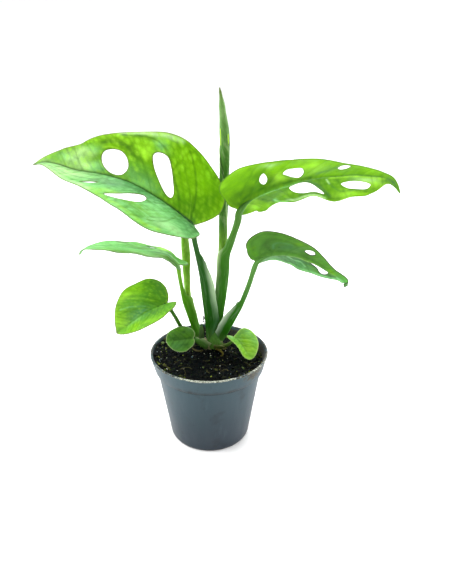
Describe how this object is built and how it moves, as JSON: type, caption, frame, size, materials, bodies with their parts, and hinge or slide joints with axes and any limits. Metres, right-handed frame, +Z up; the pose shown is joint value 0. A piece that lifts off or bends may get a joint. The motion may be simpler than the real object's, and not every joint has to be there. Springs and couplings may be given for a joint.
{
  "type": "potted swiss cheese vine",
  "caption": "Young swiss cheese vine with pointed, holed leaves on sheathed stalks and tall rolled new leaves, growing from dark potting soil in a small tapered nursery pot.",
  "frame": {"origin": "centre of the pot's underside, on the surface that it stands on", "axes": "+Z up along the pot's axis; the largest leaf points to -X and the second largest to +X; -Y faces the viewer"},
  "size_m": [0.1735, 0.06, 0.1754],
  "materials": {
    "pot_plastic": "matt moulded slate blue-grey plastic with faint scuffs and a pale mineral crust on the lip",
    "potting_soil": "moist dark potting mix with fibres and pale specks",
    "crown": "soft green stem with papery brown scales",
    "rolled_leaf": "smooth waxy young leaf, rolled up",
    "leaf_blade": "semi-gloss, thin, mottled, lets light through",
    "leaf_stalk": "satin, with pale thin sheath edges",
    "surface_root": "rough brown"
  },
  "bodies": {
    "root": {"pot": "pot_plastic", "soil": "potting_soil", "crown_main": "crown", "crown_left": "crown", "rolled_leaf_tall": "rolled_leaf", "rolled_leaf_short": "rolled_leaf", "leaf_a": "leaf_blade", "leaf_b": "leaf_blade", "leaf_c": "leaf_blade", "leaf_d": "leaf_blade", "leaf_e": "leaf_blade", "leaf_f": "leaf_blade", "leaf_g": "leaf_blade", "stalk_a": "leaf_stalk", "stalk_b": "leaf_stalk", "stalk_c": "leaf_stalk", "stalk_d": "leaf_stalk", "stalk_e": "leaf_stalk", "stalk_f": "leaf_stalk", "stalk_g": "leaf_stalk", "root_front": "surface_root", "root_left": "surface_root"}
  },
  "joints": []
}
